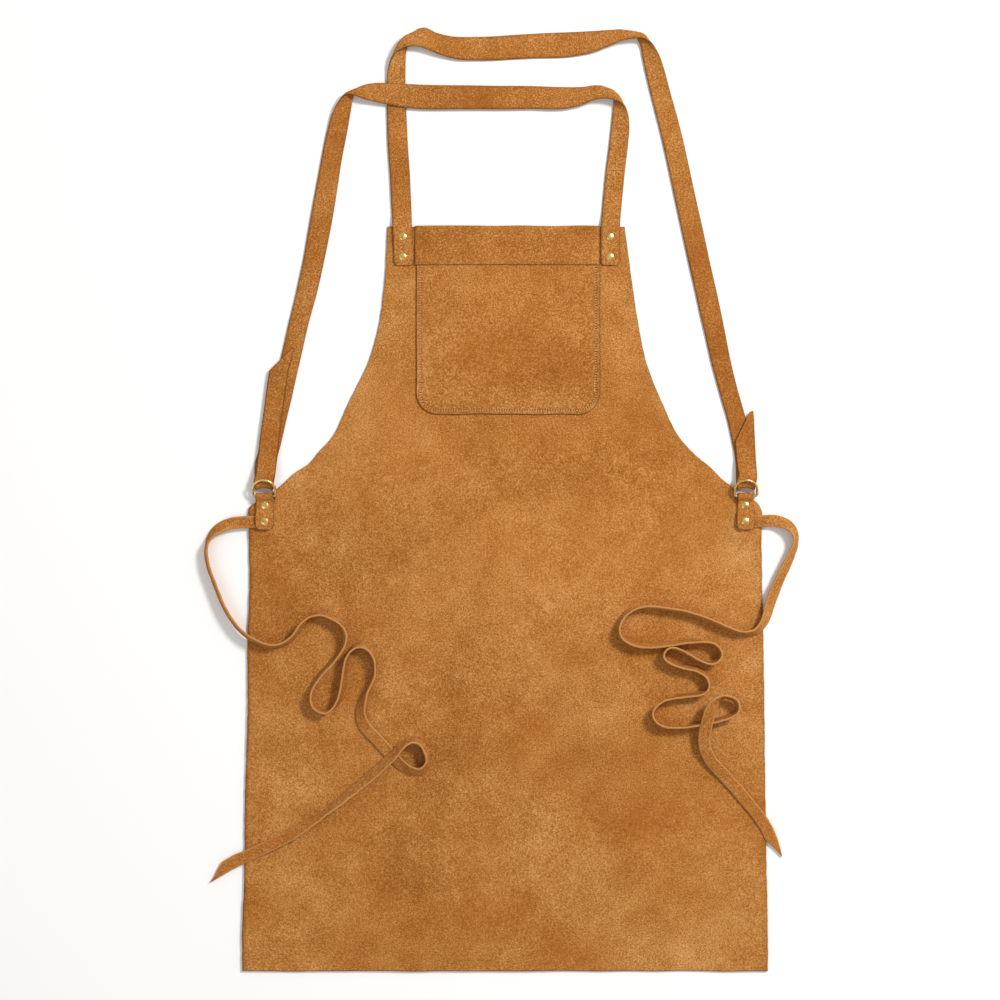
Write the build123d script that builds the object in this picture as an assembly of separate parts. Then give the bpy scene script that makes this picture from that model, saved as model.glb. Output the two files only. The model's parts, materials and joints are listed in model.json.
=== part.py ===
from build123d import *
from math import atan2, degrees, radians, tan
import os

# A leather welding apron lying on its back, seen from the front: +X to the right, +Y from hem to bib, +Z up.
# The origin is under the middle of the apron, on the surface that it lies on.

# ---- Leather ----
HIDE = 2.0  # thickness of the body, pocket and facing
STRAP = 2.2  # thickness of straps, ties and ring tabs
STRAP_WIDTH = 24.5
TIE_WIDTH = 14.0

# ---- Body outline ----
HEM_Y = -540.4
BIB_Y = 312.0
HEM_HALF = 300.0
WAIST_HALF = 293.5
BIB_HALF = 135.0
REACH = 20.0  # wider than any fold or loop
FAR = 60.0  # longer than any tab or riveted end
# One armhole, from the bib's corner out to the waist corner
ARMHOLE = [(BIB_HALF, BIB_Y), (140, 250), (153, 171), (177, 113), (202, 66), (227, 41), (262, 12), (285, -2)]
ARMHOLE_ENDS = [(0.08, -1), (1, -0.55)]  # its directions there
WAIST_CORNER = [(292, -9), (WAIST_HALF, -20)]
WAIST_CORNER_ENDS = [(1, -0.7), (0.02, -1)]

# ---- Pocket and facing on the bib ----
POCKET_LEFT, POCKET_RIGHT = -101.3, 108.7
POCKET_BOTTOM, POCKET_TOP = 96.9, 267.8
POCKET_CORNER = 25.0
POCKET_GAPE = 6.6  # how far the mouth stands open
POCKET_FLANGE = 9.0  # flat border that is sewn down
POCKET_SLOPE = 45.0  # length over which the pouch rises from the bottom seam
MOUTH_CUT = 1.0  # the hollow is cut this far past the mouth
FACING_LEFT, FACING_RIGHT = -103.0, 107.0
FACING_BOTTOM, FACING_TOP = 268.2, 313.7
SEAM_INSET = 4.75
SEAM_TOP_GAP = 1.5  # from the mouth to the seam's ends
STITCH_PITCH = 2.9
STITCH_LENGTH = 2.1
THREAD = 0.6

# ---- Rivets ----
RIVET_CAP = 4.1  # radius
RIVET_CAP_HEIGHT = 1.1
RIVET_RIM = 0.3
RIVET_POST = 1.6  # radius
SOCKET = 2.4  # radius of the back cap's hollow post
RIVET_HOLE = 2.5  # radius of the hole through the leather
BACK_CAP_HEIGHT = 0.8
COUNTERBORE = 0.9  # depth that a back cap is sunk into the leather
RIVET_FIT = 0.1  # clearance round a cap and a post
POST_GAP = 0.2  # between the solid post's end and the back cap
SOCKET_GAP = 0.3  # between the hollow post's end and the front cap
BIB_STRAP_X = {"left": -117.0, "right": 120.0}
BIB_STRAP_END_Y = 267.3
BIB_RIVETS_Y = {"upper": 300.3, "lower": 277.3}
WAIST_RIVETS_Y = {"upper": -7.3, "lower": -25.5}

# ---- Ring tabs and D-rings at the waist corners ----
TAB_X = 274.5
TAB_WIDTH = 20.5
TAB_BOTTOM = -34.5
TAB_CORNER = 6.0
TAB_STEP_Y = -16.0  # the front layer steps up over the tie here
STEP_RUN = 2.0  # length of that step's slope
STEP_LEAD = 1.2  # how much sooner its upper face starts
TAB_CLEARANCE = 0.5  # between a tab and the hide beside it
BED_BELOW = 3.0  # the space for a tab's back layer ends this far below the tab
BED_WALL = 2.0  # width of the raised hide round that space
RING_X = 275.3
RING_WIRE = 1.3  # radius
RING_INNER = 23.0
RING_DEPTH = 20.0  # from the middle of the bar to the middle of the arc's wire
RING_CORNER = 1.6  # small, so that the bar is straight all the way through its loop
RING_PLAY = 0.1  # clearance of the bar in its loop
BAR_Y = 3.6
BAR_SPACING = 2.9  # the upper ring's bar lies on the lower ring's
BAR_Z = STRAP + RING_WIRE + RING_PLAY
LOWER_TILT, UPPER_TILT = 9.0, 27.0
EDGE_GAP = 1.2  # the body stops this far below the loop

# ---- Strap ends, doubled back over the lower ring ----
FOLD_Y = 15.65  # middle of the turn
FOLD_RADIUS = 4.2  # to the middle of the leather
RING_END_Y = 25.5  # the tail starts down here
TAIL_DOWN_Y = 46.0
TAIL_Z = 2.5  # underside of the tail beyond its slope
TAIL_LANDING = 2.0  # level stretch at the foot of the tail's slope
TURN_WIDTH = 22.0  # the strap is pinched to this where it passes through the rings
LAYER_END_Y = 30.0  # the pinched lower layer ends here
SLANT_START_Y = 27.0  # and the full width starts here, on a slant
STRAP_JOIN = (267.6, 64.0)  # where a strap end meets its strap
STRAP_JOIN_GAP = 0.7
STRAP_TAILS = {
    "left": [(-288.4, 44), (-269.8, 146), (-246.5, 173), (-243.5, 173), (-264.2, 44)],
    "right": [(264.2, 44), (263.4, 67.6), (280, 101.3), (283.7, 101.3), (288.4, 44)],
}

# ---- Shoulder straps ----
LIFT = 2.6  # underside of a strap that crosses over another
STRAP_FLOOR_Y = 326.0  # the strap is down beside the bib from here
EDGE_CLEAR = 1.0  # it stays up until this far past the bib's top
EDGE_LANDING = 2.0  # level stretch at the foot of its slope
STRAP_CORNER = 4.0
RISER_OVERLAP = 1.0

# ---- Waist ties ----
TIE_LIFT = 2.3  # underside of a tie that stands on its edge on the apron
TIE_Y = -26.0
TIE_CROSS_Z = 16.8  # underside of a tail where it crosses the tie's own loop
EXIT_BEND = (300.0, -26.4)  # the tie leaves its tab flat through this point
TIE_ROOT = 7.0  # the tie starts this far inside its tab's middle
TIP_LENGTH = 22.0
TIP_BLUNT = 3.0
TIP_MARGIN = 1.0  # the cut that points a tip starts this far outside the tie's edge
ARC_SHARE = 0.45  # how much of a run the arc at its end may use

LEFT_TIE_ROUTE = [
    (-285, -26), (-308, -26.5), (-329, -33), (-342, -50), (-341, -72), (-332, -97), (-320, -127),
    (-304, -150), (-285, -163), (-263, -170), (-243, -161), (-232, -142), (-217, -130), (-199, -133),
    (-183, -148), (-182, -166), (-196, -185), (-214, -204), (-224, -221), (-219, -238), (-204, -245),
    (-190, -234), (-184, -207), (-181, -182), (-173, -168), (-160, -166), (-147.5, -179), (-148, -199),
    (-159, -221), (-166, -241), (-162, -259), (-147, -274), (-130, -293), (-113, -309), (-96, -313),
    (-88, -297), (-98, -276), (-116, -279),
]
LEFT_TAIL_ROUTE = [
    (-107, -277.5), (-117, -281), (-128, -295), (-145, -311.5), (-171, -331), (-203, -357.5),
    (-243, -384), (-285, -406), (-312, -420), (-335.5, -439.7),
]
RIGHT_TIE_ROUTE = [
    (285, -26), (309, -24), (328, -31), (334, -47), (326, -67), (313, -93), (303, -118), (298, -139),
    (286, -153), (269, -154), (247, -144.5), (220, -133.5), (192, -126.5), (164, -122.5), (141, -126.5),
    (128, -143), (134, -161), (156, -168.5), (187, -166), (214, -161.5), (238, -164.5), (248, -177),
    (239, -188.5), (221, -186), (206, -176), (188, -168.5), (177.5, -178), (183, -188), (203, -192),
    (223, -195), (236, -208), (229, -222), (203, -224.5), (180, -230.5), (167, -245), (175, -260),
    (195, -263.5), (220, -256.5), (248, -252), (267, -243), (262, -229), (250, -225.5), (237, -235),
]
RIGHT_TAIL_ROUTE = [
    (241.5, -230.5), (236, -236), (230, -251), (228.5, -271), (234.5, -290), (248, -313),
    (270, -340), (289.5, -362), (306.5, -385), (316, -408.8),
]


def upright(profile, middle, width):
    """A profile drawn in Y and Z, made into a solid of this width about X = middle."""
    start = Plane.YZ.offset(middle - width / 2) * profile
    return extrude(start, width, dir=(1, 0, 0))


def slab(face, bottom, thickness):
    """A flat face made into a solid above Z = bottom."""
    return extrude(Pos(0, 0, bottom) * face, thickness, dir=(0, 0, 1))


def area(points):
    return make_face(Polyline(*points, close=True))


def block(x_range, y_range, z_range):
    middle = [(low + high) / 2 for low, high in (x_range, y_range, z_range)]
    size = [high - low for low, high in (x_range, y_range, z_range)]
    return Pos(*middle) * Box(*size)


def route_radii(points):
    """For each corner of a route, the largest arc that its two runs allow."""
    radii = []
    for before, corner, after in zip(points, points[1:], points[2:]):
        run_in = Vector(*corner) - Vector(*before)
        run_out = Vector(*after) - Vector(*corner)
        half_turn = radians(run_in.get_angle(run_out)) / 2
        radii.append(ARC_SHARE * min(run_in.length, run_out.length) / tan(half_turn))
    return radii


def route_path(points):
    return FilletPolyline(*points, radius=route_radii(points))


def ribbon(points, bottom):
    """A strap's flat run along straight stretches."""
    return slab(trace(Polyline(*points), STRAP_WIDTH), bottom, STRAP)


def rivet_places():
    """Name, X, Y and front face height of each rivet."""
    places = []
    for side, sign in (("left", -1), ("right", 1)):
        for level, y in BIB_RIVETS_Y.items():
            places.append((f"bib_{side}_{level}", BIB_STRAP_X[side], y, HIDE + STRAP))
        for level, y in WAIST_RIVETS_Y.items():
            layers = 2 if level == "upper" else 3
            places.append((f"waist_{side}_{level}", sign * TAB_X, y, HIDE + layers * STRAP))
    return places


def drilled(part, places):
    """The part with a hole for each rivet that goes through it."""
    for _, x, y, _ in places:
        part -= Pos(x, y, 0) * Cylinder(RIVET_HOLE, FAR)
    return part


def counterbored(part, places):
    """The part with its underside sunk for the back caps."""
    for _, x, y, _ in places:
        part -= Pos(x, y, COUNTERBORE / 2) * Cylinder(RIVET_CAP + RIVET_FIT, COUNTERBORE)
    return part


def body_outline():
    armhole = Spline(*ARMHOLE, tangents=ARMHOLE_ENDS)
    corner = Spline(ARMHOLE[-1], *WAIST_CORNER, tangents=WAIST_CORNER_ENDS)
    side = Line(WAIST_CORNER[-1], (HEM_HALF, HEM_Y))
    right = [armhole, corner, side]
    left = [mirror(edge, about=Plane.YZ) for edge in right]
    top = Line((-BIB_HALF, BIB_Y), (BIB_HALF, BIB_Y))
    hem = Line((-HEM_HALF, HEM_Y), (HEM_HALF, HEM_Y))
    return make_face(Curve() + right + left + [top, hem])


def apron_body(places):
    """The hide, raised at the waist corners so that each tab's back layer lies flush behind it."""
    outline = body_outline()
    body = slab(outline, 0, HIDE)
    clearance = TAB_WIDTH / 2 + TAB_CLEARANCE
    top_edge = -EDGE_GAP
    bed_bottom = TAB_BOTTOM - BED_BELOW
    wall_bottom = bed_bottom - BED_WALL
    for middle in (-TAB_X, TAB_X):
        wall = Rectangle(2 * (clearance + BED_WALL), top_edge - wall_bottom)
        body += slab(outline & Pos(middle, (top_edge + wall_bottom) / 2) * wall, 0, HIDE + STRAP)
        beside = (middle - clearance, middle + clearance)
        body -= block(beside, (bed_bottom, FAR), (-REACH, STRAP))
        body -= block(beside, (top_edge, FAR), (-REACH, REACH))
    body = drilled(body, places)
    return counterbored(body, [place for place in places if place[0].startswith("bib")])


def bib_facing():
    """The turned-down strip along the top of the bib."""
    return block((FACING_LEFT, FACING_RIGHT), (FACING_BOTTOM, FACING_TOP), (HIDE, 2 * HIDE))


def bib_pocket():
    """A patch sewn down round three sides, whose pouch rises towards the open mouth."""
    width = POCKET_RIGHT - POCKET_LEFT
    height = POCKET_TOP - POCKET_BOTTOM
    middle = (POCKET_LEFT + POCKET_RIGHT) / 2
    patch = Pos(middle, (POCKET_TOP + POCKET_BOTTOM) / 2) * Rectangle(width, height)
    low_corners = patch.vertices().sort_by(Axis.Y)[:2]
    pocket = slab(fillet(low_corners, POCKET_CORNER), HIDE, HIDE)
    start = POCKET_BOTTOM + POCKET_FLANGE
    outside = area([
        (start, HIDE), (start + POCKET_SLOPE, 2 * HIDE + POCKET_GAPE),
        (POCKET_TOP, 2 * HIDE + POCKET_GAPE), (POCKET_TOP, HIDE),
    ])
    inside = area([
        (start + 2 * HIDE, HIDE), (start + POCKET_SLOPE + HIDE, HIDE + POCKET_GAPE),
        (POCKET_TOP + MOUTH_CUT, HIDE + POCKET_GAPE), (POCKET_TOP + MOUTH_CUT, HIDE),
    ])
    pouch_width = width - 2 * POCKET_FLANGE
    pocket += upright(outside, middle, pouch_width)
    return pocket - upright(inside, middle, pouch_width - 2 * HIDE)


def pocket_seam_thread():
    """The row of stitches round three sides of the pocket."""
    left, right = POCKET_LEFT + SEAM_INSET, POCKET_RIGHT - SEAM_INSET
    bottom = POCKET_BOTTOM + SEAM_INSET
    top = POCKET_TOP - SEAM_TOP_GAP
    corners = [(left, top), (left, bottom), (right, bottom), (right, top)]
    seam = FilletPolyline(*corners, radius=POCKET_CORNER - SEAM_INSET)
    count = round(seam.length / STITCH_PITCH)
    stitches = []
    for number in range(count):
        along = (number + 0.5) / count
        place = seam @ along
        heading = seam % along
        turned = Rot(0, 0, degrees(atan2(heading.Y, heading.X)))
        height = 2 * HIDE + THREAD / 2
        stitches.append(Pos(place.X, place.Y, height) * turned * Box(STITCH_LENGTH, THREAD, THREAD))
    return Compound(children=stitches)


def front_cap(x, y, face_z):
    """A domed cap on the front with its solid post."""
    rise = RIVET_CAP_HEIGHT - RIVET_RIM
    dome_radius = (RIVET_CAP**2 + rise**2) / (2 * rise)
    ball = Pos(0, 0, RIVET_CAP_HEIGHT - dome_radius) * Sphere(dome_radius)
    dome = Pos(0, 0, RIVET_CAP_HEIGHT / 2) * Cylinder(RIVET_CAP, RIVET_CAP_HEIGHT) & ball
    post_length = face_z - BACK_CAP_HEIGHT - POST_GAP
    post = Pos(0, 0, -post_length / 2) * Cylinder(RIVET_POST, post_length)
    return Pos(x, y, face_z) * (dome + post)


def back_cap(x, y, face_z):
    """The cap behind the leather, whose hollow post takes the front cap's post."""
    disc = Pos(0, 0, BACK_CAP_HEIGHT / 2) * Cylinder(RIVET_CAP, BACK_CAP_HEIGHT)
    socket_top = face_z - SOCKET_GAP
    socket = Pos(0, 0, socket_top / 2) * Cylinder(SOCKET, socket_top)
    bore_length = socket_top - BACK_CAP_HEIGHT
    bore = Pos(0, 0, BACK_CAP_HEIGHT + bore_length / 2) * Cylinder(RIVET_POST + RIVET_FIT, bore_length)
    return Pos(x, y, 0) * (disc + socket - bore)


def ring_tab(middle, places):
    """A strip folded round the two ring bars and riveted through the body's corner."""
    back = -TAB_BOTTOM + BAR_Y
    loop = RING_WIRE + RING_PLAY
    orbit = loop + BAR_SPACING  # reach of the upper bar as the rings swing over
    axis = Pos(BAR_Y, BAR_Z)
    upper_axis = Pos(BAR_Y, BAR_Z + BAR_SPACING)
    quarter = Pos(BAR_Y - REACH / 2, BAR_Z + REACH / 2) * Rectangle(REACH, REACH)
    column = Pos(BAR_Y, BAR_Z + BAR_SPACING / 2)
    right_half = Pos(BAR_Y + REACH / 2, BAR_Z + BAR_SPACING / 2) * Rectangle(REACH, BAR_SPACING)
    outer = axis * Circle(loop + STRAP) + upper_axis * Circle(loop + STRAP)
    outer += (column * Rectangle(2 * (loop + STRAP), BAR_SPACING)) & right_half
    outer += (axis * Circle(orbit + STRAP)) & quarter
    hollow = axis * Circle(loop) + upper_axis * Circle(loop)
    hollow += (column * Rectangle(2 * loop, BAR_SPACING)) & right_half
    hollow += (axis * Circle(orbit)) & quarter
    gap = HIDE + STRAP
    over_tie = gap + STRAP
    layers = Pos(BAR_Y - back / 2, STRAP / 2) * Rectangle(back, STRAP)
    layers += area([
        (TAB_BOTTOM, over_tie), (TAB_STEP_Y - STEP_RUN, over_tie), (TAB_STEP_Y, gap), (BAR_Y - orbit, gap),
        (BAR_Y - orbit, gap + STRAP), (TAB_STEP_Y + STEP_LEAD, gap + STRAP),
        (TAB_STEP_Y + STEP_LEAD - STEP_RUN, over_tie + STRAP), (TAB_BOTTOM, over_tie + STRAP),
    ])
    between = area([(-FAR, STRAP), (BAR_Y, STRAP), (BAR_Y, BAR_Z), (BAR_Y - orbit, BAR_Z),
                    (BAR_Y - orbit, gap), (-FAR, gap)])
    profile = layers + outer - hollow - between
    plan = Pos(middle, TAB_BOTTOM + FAR / 2) * Rectangle(TAB_WIDTH, FAR)
    plan = fillet(plan.vertices().sort_by(Axis.Y)[:2], TAB_CORNER)
    tab = upright(profile, middle, TAB_WIDTH) & slab(plan, 0, REACH)
    return counterbored(drilled(tab, places), places)


def d_ring(middle, bar_z, tilt):
    """A closed D of round wire whose straight bar lies along X."""
    half = RING_INNER / 2 + RING_WIRE
    straight = RING_DEPTH - half
    bar_end = half - RING_CORNER
    outline = [
        Line((-bar_end, 0), (bar_end, 0)),
        RadiusArc((bar_end, 0), (half, RING_CORNER), -RING_CORNER),
        Line((half, RING_CORNER), (half, straight)),
        ThreePointArc((half, straight), (0, RING_DEPTH), (-half, straight)),
        Line((-half, straight), (-half, RING_CORNER)),
        RadiusArc((-half, RING_CORNER), (-bar_end, 0), -RING_CORNER),
    ]
    wire = Wire(outline)
    section = Plane(origin=wire @ 0, z_dir=wire % 0) * Circle(RING_WIRE)
    ring = sweep(section, path=wire)
    return Pos(middle, BAR_Y, bar_z) * Rot(tilt, 0, 0) * ring


def strap_end(side, tail):
    """The last of a shoulder strap: up through both rings, back over the lower one, and its free tail."""
    sign = -1 if side == "left" else 1
    middle = sign * RING_X
    top = STRAP / 2 + 2 * FOLD_RADIUS
    axis_z = STRAP / 2 + FOLD_RADIUS
    left_half = Pos(FOLD_Y - REACH / 2, axis_z) * Rectangle(REACH, 2 * REACH)
    turn = Pos(FOLD_Y, axis_z) * (Circle(FOLD_RADIUS + STRAP / 2) - Circle(FOLD_RADIUS - STRAP / 2))
    profile = turn & left_half
    profile += Pos((FOLD_Y + LAYER_END_Y) / 2, STRAP / 2) * Rectangle(LAYER_END_Y - FOLD_Y, STRAP)
    profile += area([
        (FOLD_Y, top - STRAP / 2), (RING_END_Y, top - STRAP / 2), (TAIL_DOWN_Y, TAIL_Z),
        (TAIL_DOWN_Y + TAIL_LANDING, TAIL_Z), (TAIL_DOWN_Y + TAIL_LANDING, TAIL_Z + STRAP),
        (RING_END_Y, top + STRAP / 2),
        (FOLD_Y, top + STRAP / 2),
    ])
    end = upright(profile, middle, TURN_WIDTH)
    join_x, join_y = STRAP_JOIN
    end += ribbon([(middle, SLANT_START_Y), (sign * join_x, join_y - STRAP_JOIN_GAP)], 0)
    return end + slab(area(tail), TAIL_Z, STRAP)


def bib_end(middle):
    """A strap's riveted end on the bib, stepping down beside the bib's top edge."""
    clear = FACING_TOP + EDGE_CLEAR
    landing = STRAP_FLOOR_Y - EDGE_LANDING
    profile = area([
        (BIB_STRAP_END_Y, HIDE), (clear, HIDE), (landing, 0), (STRAP_FLOOR_Y, 0), (STRAP_FLOOR_Y, STRAP),
        (landing, STRAP), (clear, HIDE + STRAP), (BIB_STRAP_END_Y, HIDE + STRAP),
    ])
    plan = Pos(middle, BIB_STRAP_END_Y + FAR / 2) * Rectangle(STRAP_WIDTH, FAR)
    plan = fillet(plan.vertices().sort_by(Axis.Y)[:2], STRAP_CORNER)
    return upright(profile, middle, STRAP_WIDTH) & slab(plan, 0, REACH)


def shoulder_strap(bib_x, riser, first_fold, across, second_fold, down, places):
    """One strap from the bib up, folded over across the top, and folded down to the far ring."""
    strap = drilled(bib_end(bib_x), places)
    strap += ribbon(riser, 0)
    strap += slab(area(first_fold), 0, LIFT + STRAP)
    strap += ribbon(across, LIFT)
    strap += slab(area(second_fold), 0, LIFT + STRAP)
    return strap + ribbon(down, 0)


def left_bib_strap(places):
    """From the bib's left side to the right-hand rings."""
    return shoulder_strap(
        BIB_STRAP_X["left"],
        [(-117, STRAP_FLOOR_Y - RISER_OVERLAP), (-123.5, 420), (-124, 500)],
        [(-136, 492), (-129, 509), (-118, 525.5), (-106, 535), (-94, 535), (-97, 515), (-112, 515),
         (-112, 492)],
        [(-108, 521), (-60, 515.5), (80, 520.5), (140, 527)],
        [(132, 538), (143, 538), (160, 528), (175, 512), (183, 492), (161, 492), (155, 514), (136, 514)],
        [(169.5, 500), (188.5, 425), (256, 124.8), STRAP_JOIN],
        places,
    )


def right_bib_strap(places):
    """From the bib's right side, over the other strap's riser, to the left-hand rings."""
    return shoulder_strap(
        BIB_STRAP_X["right"],
        [(120, STRAP_FLOOR_Y - RISER_OVERLAP), (131, 425), (131.5, 440)],
        [(144, 436), (136, 451), (125, 467), (112, 474.5), (104, 474.5), (104, 451), (119, 451), (119, 436)],
        [(112, 462), (60, 459.5), (-110, 460), (-160, 464.5)],
        [(-154, 476.5), (-172, 470), (-188, 459), (-199, 441), (-178, 437), (-172, 452), (-154, 452)],
        [(-186.5, 446), (-198, 390), (-240, 187), (-257, 113), (-STRAP_JOIN[0], STRAP_JOIN[1])],
        places,
    )


def waist_tie(side, route, tail, places):
    """A long flat tie: riveted under the tab, on edge in loose curves, and its tail laid over itself."""
    sign = -1 if side == "left" else 1
    root = (sign * (TAB_X - TIE_ROOT), TIE_Y)
    bend = (sign * EXIT_BEND[0], EXIT_BEND[1])
    flat_run = route_path([root, bend, route[2]])
    tie = drilled(slab(trace(flat_run, TIE_WIDTH), HIDE + STRAP, STRAP), places)
    tie += slab(trace(route_path(route[1:]), STRAP), TIE_LIFT, TIE_WIDTH)
    tie += slab(trace(Polyline(*route[-2:]), STRAP), TIE_LIFT, TIE_CROSS_Z)
    crossing, tip = Vector(*tail[2]), Vector(*tail[-1])
    heading = (tip - crossing).normalized()
    flat_tail = slab(trace(route_path(tail), TIE_WIDTH), 0, STRAP)
    flat_tail -= slab(tip_cut(tip, heading), 0, REACH)
    slope = degrees(atan2(TIE_CROSS_Z - TIE_LIFT, (tip - crossing).length))
    hinge = Axis(origin=tuple(crossing), direction=(-heading.Y, heading.X, 0))
    flat_tail = Pos(0, 0, TIE_CROSS_Z) * flat_tail.rotate(hinge, slope)
    return tie + flat_tail


def tip_cut(tip, heading):
    """The corner that is cut off a tie's end to point it."""
    aside = Vector(-heading.Y, heading.X)
    half = TIE_WIDTH / 2
    past_tip = tip + heading * TIP_BLUNT
    outside = aside * (half + TIP_MARGIN)
    inside = aside * (half - TIP_BLUNT)
    corners = [tip - heading * TIP_LENGTH + outside, past_tip + outside, past_tip - inside]
    return area([(corner.X, corner.Y) for corner in corners])


def print_tie(side, tie, route, tail):
    """Bend radii, and the length along the route beside the length that the volume gives."""
    radii = route_radii(route[1:]) + route_radii(tail)
    root = TIE_ROOT + abs(route[0][0]) - TAB_X
    length = root + route_path(route).length + route_path(tail).length
    print(side, "tie bend radii", [round(radius) for radius in radii])
    print(side, "tie length", round(length), "and by volume", round(tie.volume / (TIE_WIDTH * STRAP)))


def save(name, part):
    export_step(part, f"parts/{name}.step")


def main():
    os.makedirs("parts", exist_ok=True)
    places = rivet_places()
    save("apron_body", apron_body(places))
    save("bib_facing", bib_facing())
    save("bib_pocket", bib_pocket())
    save("pocket_seam_thread", pocket_seam_thread())
    save("shoulder_strap_from_left_bib", left_bib_strap(places))
    save("shoulder_strap_from_right_bib", right_bib_strap(places))
    ties = {
        "left": (LEFT_TIE_ROUTE, LEFT_TAIL_ROUTE),
        "right": (RIGHT_TIE_ROUTE, RIGHT_TAIL_ROUTE),
    }
    for side, sign in (("left", -1), ("right", 1)):
        save(f"{side}_strap_end", strap_end(side, STRAP_TAILS[side]))
        save(f"{side}_ring_tab", ring_tab(sign * TAB_X, [p for p in places if p[0].startswith("waist")]))
        save(f"{side}_lower_d_ring", d_ring(sign * RING_X, BAR_Z, LOWER_TILT))
        save(f"{side}_upper_d_ring", d_ring(sign * RING_X, BAR_Z + BAR_SPACING, UPPER_TILT))
        route, tail = ties[side]
        tie = waist_tie(side, route, tail, places)
        save(f"{side}_waist_tie", tie)
        print_tie(side, tie, route, tail)
    for name, x, y, face_z in places:
        save(f"{name}_rivet_front_cap", front_cap(x, y, face_z))
        save(f"{name}_rivet_back_cap", back_cap(x, y, face_z))


main()
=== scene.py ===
import json
import math

import bmesh
import bpy
import numpy as np
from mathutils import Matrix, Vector, noise


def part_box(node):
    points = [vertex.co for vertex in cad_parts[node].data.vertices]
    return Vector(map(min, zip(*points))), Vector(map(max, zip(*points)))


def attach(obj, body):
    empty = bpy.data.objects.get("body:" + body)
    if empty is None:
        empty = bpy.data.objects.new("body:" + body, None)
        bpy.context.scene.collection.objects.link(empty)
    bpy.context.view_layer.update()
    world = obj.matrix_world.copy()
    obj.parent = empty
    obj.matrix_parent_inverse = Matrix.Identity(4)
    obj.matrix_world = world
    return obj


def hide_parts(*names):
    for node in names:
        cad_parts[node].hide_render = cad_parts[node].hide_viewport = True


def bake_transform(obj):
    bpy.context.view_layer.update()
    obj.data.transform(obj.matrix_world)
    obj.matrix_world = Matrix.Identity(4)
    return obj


# Lengths below are in millimetres, and MM turns them into Blender's metres.
MM = 0.001

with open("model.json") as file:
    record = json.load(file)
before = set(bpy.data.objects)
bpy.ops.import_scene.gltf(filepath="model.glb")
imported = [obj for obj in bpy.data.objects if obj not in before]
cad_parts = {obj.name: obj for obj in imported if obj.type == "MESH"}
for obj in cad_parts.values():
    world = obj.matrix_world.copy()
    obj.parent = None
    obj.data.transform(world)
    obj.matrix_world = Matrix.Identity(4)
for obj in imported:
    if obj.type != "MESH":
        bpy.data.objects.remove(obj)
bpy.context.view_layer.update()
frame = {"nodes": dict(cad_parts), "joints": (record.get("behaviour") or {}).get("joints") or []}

HIDE = 2.0
STRAP = 2.2
TIE_WIDTH = 14.0
FLOOR_GAP = 0.4  # the floor is this far below the object, so that no two faces share a place

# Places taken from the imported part
BAR_Y, BAR_Z = [value / MM for value in frame["joints"][0]["pos_m"][1:]]
TAB_X = sum(corner.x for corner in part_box("right_ring_tab")) / 2 / MM
RING_X = sum(corner.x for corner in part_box("right_lower_d_ring")) / 2 / MM
POCKET_LOW, POCKET_HIGH = [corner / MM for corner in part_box("bib_pocket")]
FACING_LOW, FACING_HIGH = [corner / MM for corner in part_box("bib_facing")]
BIB_CAPS = [
    sum(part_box(f"bib_{side}_{level}_rivet_back_cap"), Vector()) / 2 / MM
    for side in ("left", "right") for level in ("upper", "lower")
]


# ---------------------------------------------------------------- camera, light and floor

def make_camera():
    """Straight above, with +Y up the picture. The view is 1145 mm across."""
    data = bpy.data.cameras.new("camera")
    data.sensor_width = 36.0
    distance, view_width = 3000.0, 1145.0
    data.lens = data.sensor_width * distance / view_width
    data.clip_end = 20.0
    camera = bpy.data.objects.new("camera", data)
    camera.location = Vector((-5.7, -1.1, distance)) * MM
    bpy.context.scene.collection.objects.link(camera)
    bpy.context.scene.camera = camera


def area_light(name, place, size, power, colour):
    data = bpy.data.lights.new(name, "AREA")
    data.shape = "DISK"
    data.size = size
    data.energy = power
    data.color = colour
    light = bpy.data.objects.new(name, data)
    light.location = place
    light.rotation_mode = "QUATERNION"
    light.rotation_quaternion = Vector(place).to_track_quat("Z", "Y")
    bpy.context.scene.collection.objects.link(light)


def make_light():
    """A large soft key from the upper right, a weak fill from the lower left, and an even pale sky.
    The Standard view shows each colour as it is, with no film curve over it."""
    area_light("key", (2.1, 1.6, 2.6), 0.8, 112, (1.0, 0.98, 0.95))
    area_light("fill", (-1.8, -1.6, 2.6), 2.0, 12, (0.95, 0.97, 1.0))
    world = bpy.data.worlds.new("studio")
    world.use_nodes = True
    sky = world.node_tree.nodes["Background"]
    sky.inputs["Color"].default_value = (1.0, 0.99, 0.98, 1)
    sky.inputs["Strength"].default_value = 0.56
    bpy.context.scene.world = world
    bpy.context.scene.view_settings.view_transform = "Standard"


def make_floor():
    half, height = 8.0, -FLOOR_GAP * MM
    corners = [(-half, -half, height), (half, -half, height), (half, half, height), (-half, half, height)]
    mesh = bpy.data.meshes.new("floor")
    mesh.from_pydata(corners, [], [(0, 1, 2, 3)])
    floor = bpy.data.objects.new("floor", mesh)
    bpy.context.scene.collection.objects.link(floor)
    paint = bpy.data.materials.new("floor_paint")
    paint.use_nodes = True
    shader = paint.node_tree.nodes["Principled BSDF"]
    shader.inputs["Base Color"].default_value = (0.93, 0.93, 0.92, 1)
    shader.inputs["Roughness"].default_value = 0.9
    mesh.materials.append(paint)


# ---------------------------------------------------------------- materials

def new_material(name):
    material = bpy.data.materials.new(name)
    material.use_nodes = True
    return material, material.node_tree, material.node_tree.nodes["Principled BSDF"]


def noise_at(tree, place, scale, detail, roughness=0.55):
    """A noise texture's value, about 1 / scale metres to a feature."""
    node = tree.nodes.new("ShaderNodeTexNoise")
    node.inputs["Scale"].default_value = scale
    node.inputs["Detail"].default_value = detail
    node.inputs["Roughness"].default_value = roughness
    tree.links.new(place, node.inputs["Vector"])
    return node.outputs["Fac"]


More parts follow.
